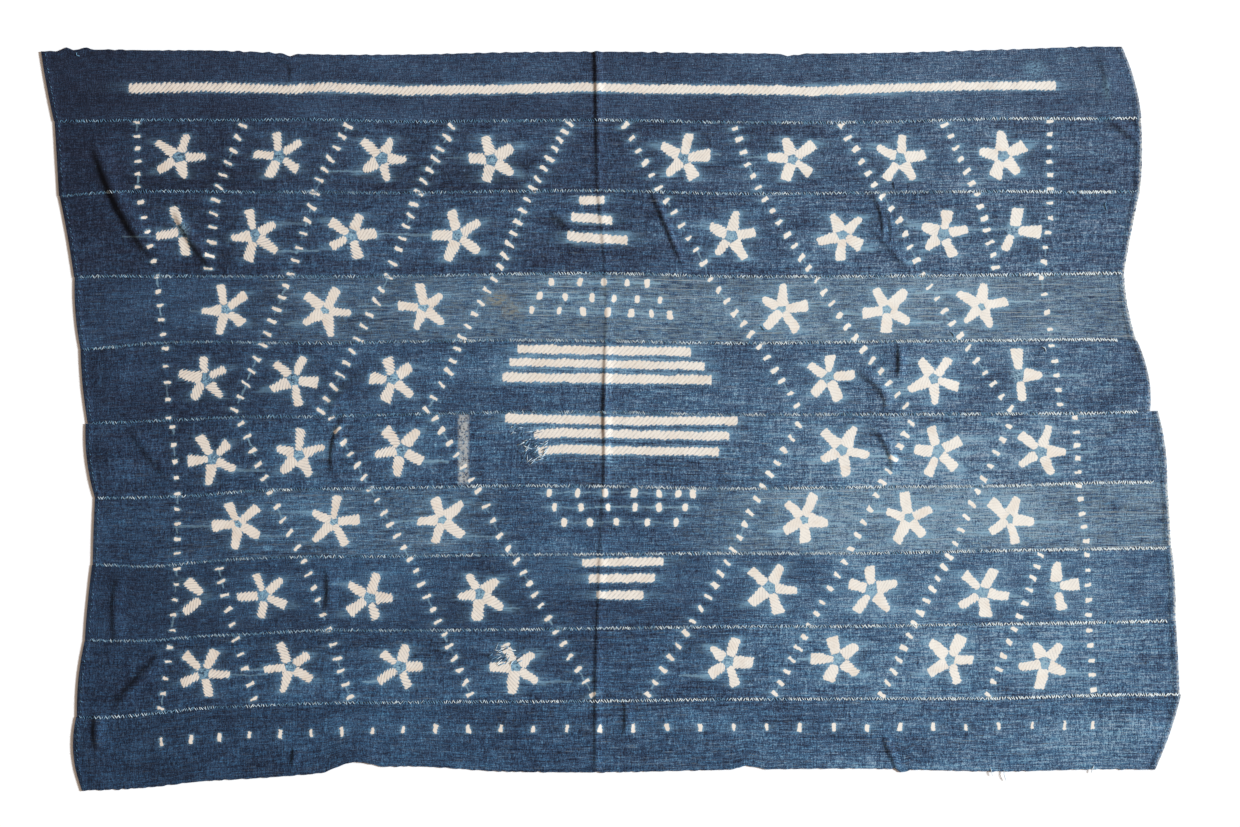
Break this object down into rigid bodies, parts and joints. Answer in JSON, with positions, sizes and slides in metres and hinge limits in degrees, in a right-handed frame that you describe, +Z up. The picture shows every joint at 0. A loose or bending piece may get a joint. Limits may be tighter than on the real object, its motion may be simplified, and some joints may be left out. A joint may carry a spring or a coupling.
{
  "type": "strip-woven resist-dyed indigo cloth",
  "caption": "Rectangular wrapper cloth of narrow handwoven cotton strips sewn edge to edge, indigo dyed with a stitched resist pattern of stars, dashed lines, bars and dots, laid flat",
  "frame": {"origin": "on the surface, under the middle of the cloth's outline", "axes": "+X along the strips to the cloth's right, +Y to its upper edge, +Z up out of its face"},
  "size_m": [1.584, 1.0334, 0.0091],
  "materials": {
    "indigo_dark": "matt handwoven cotton, deep indigo with white resist figures",
    "indigo_mid": "matt handwoven cotton, middle indigo with white resist figures",
    "indigo_streaked": "matt handwoven cotton, streaked pale indigo with white resist figures",
    "sewing_thread": "matt hand-spun cotton thread, pale blue to off-white"
  },
  "bodies": {
    "root": {"strip_01": "indigo_dark", "strip_02": "indigo_mid", "strip_03": "indigo_mid", "strip_04": "indigo_streaked", "strip_05": "indigo_dark", "strip_06": "indigo_mid", "strip_07": "indigo_streaked", "strip_08": "indigo_mid", "strip_09": "indigo_mid", "strip_10": "indigo_mid"}
  },
  "joints": []
}
